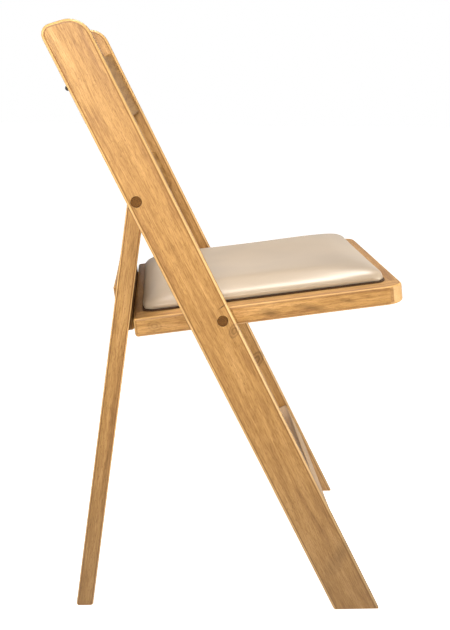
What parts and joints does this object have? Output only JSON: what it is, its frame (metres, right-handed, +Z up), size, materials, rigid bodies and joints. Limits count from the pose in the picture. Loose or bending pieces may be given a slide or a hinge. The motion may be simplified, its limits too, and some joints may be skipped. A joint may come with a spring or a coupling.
{
  "type": "folding chair",
  "caption": "Folding chair with slanted front posts, bowed back slats, thin rear legs pivoted to the posts and a padded seat that swings up to fold.",
  "frame": {"origin": "bottom centre of the bounding box, at floor level, with the chair open and standing", "axes": "+Z up, -Y towards the front edge of the seat, +X to the right as seen from the front, where the nodes named right are"},
  "size_m": [0.445, 0.4678, 0.7847],
  "materials": {
    "varnished_wood": "satin varnish",
    "dark_wood": "satin varnish",
    "plain_wood": "bare",
    "plywood": "bare",
    "steel": "zinc plated",
    "nylon": "matt",
    "rubber": "matt",
    "pad_vinyl": "smooth vinyl"
  },
  "bodies": {
    "front_frame": {"left_post": "varnished_wood", "right_post": "varnished_wood", "upper_slat": "varnished_wood", "lower_slat": "varnished_wood", "front_stretcher": "varnished_wood", "left_leg_pivot_screw": "steel", "right_leg_pivot_screw": "steel", "left_leg_pivot_plug": "dark_wood", "right_leg_pivot_plug": "dark_wood", "left_seat_pivot_screw": "steel", "right_seat_pivot_screw": "steel", "left_seat_pivot_plug": "dark_wood", "right_seat_pivot_plug": "dark_wood", "left_bumper": "rubber", "right_bumper": "rubber"},
    "rear_legs": {"left_rear_leg": "varnished_wood", "right_rear_leg": "varnished_wood", "rear_stretcher": "varnished_wood", "left_leg_washer": "nylon", "right_leg_washer": "nylon"},
    "seat": {"left_side_rail": "varnished_wood", "right_side_rail": "varnished_wood", "front_rail": "varnished_wood", "rear_rail": "varnished_wood", "seat_board": "plywood", "seat_pad": "pad_vinyl", "slide_bar": "varnished_wood", "left_slide_pin": "steel", "right_slide_pin": "steel", "left_spacer": "varnished_wood", "right_spacer": "varnished_wood", "left_front_corner_block": "plain_wood", "left_rear_corner_block": "plain_wood", "right_front_corner_block": "plain_wood", "right_rear_corner_block": "plain_wood", "pad_screw_1": "steel", "pad_screw_2": "steel", "pad_screw_3": "steel", "pad_screw_4": "steel", "bar_screw_1": "steel", "bar_screw_2": "steel", "bar_screw_3": "steel", "left_front_dowel_1": "plain_wood", "left_front_dowel_2": "plain_wood", "left_rear_dowel_1": "plain_wood", "left_rear_dowel_2": "plain_wood", "right_front_dowel_1": "plain_wood", "right_front_dowel_2": "plain_wood", "right_rear_dowel_1": "plain_wood", "right_rear_dowel_2": "plain_wood"}
  },
  "joints": [
    {"name": "seat_fold", "type": "hinge", "parent": "front_frame", "child": "seat", "pos_m": [0, 0.0097, 0.41089], "axis": [-1, 0, 0], "range_deg": [0, 98]},
    {"name": "rear_leg_fold", "type": "hinge", "parent": "front_frame", "child": "rear_legs", "pos_m": [0, 0.12042, 0.56405], "axis": [-1, 0, 0], "range_deg": [0, 25.5]}
  ],
  "couplings": [
    {"joint": "rear_leg_fold", "follows": "seat_fold", "ratio": 0.26}
  ]
}
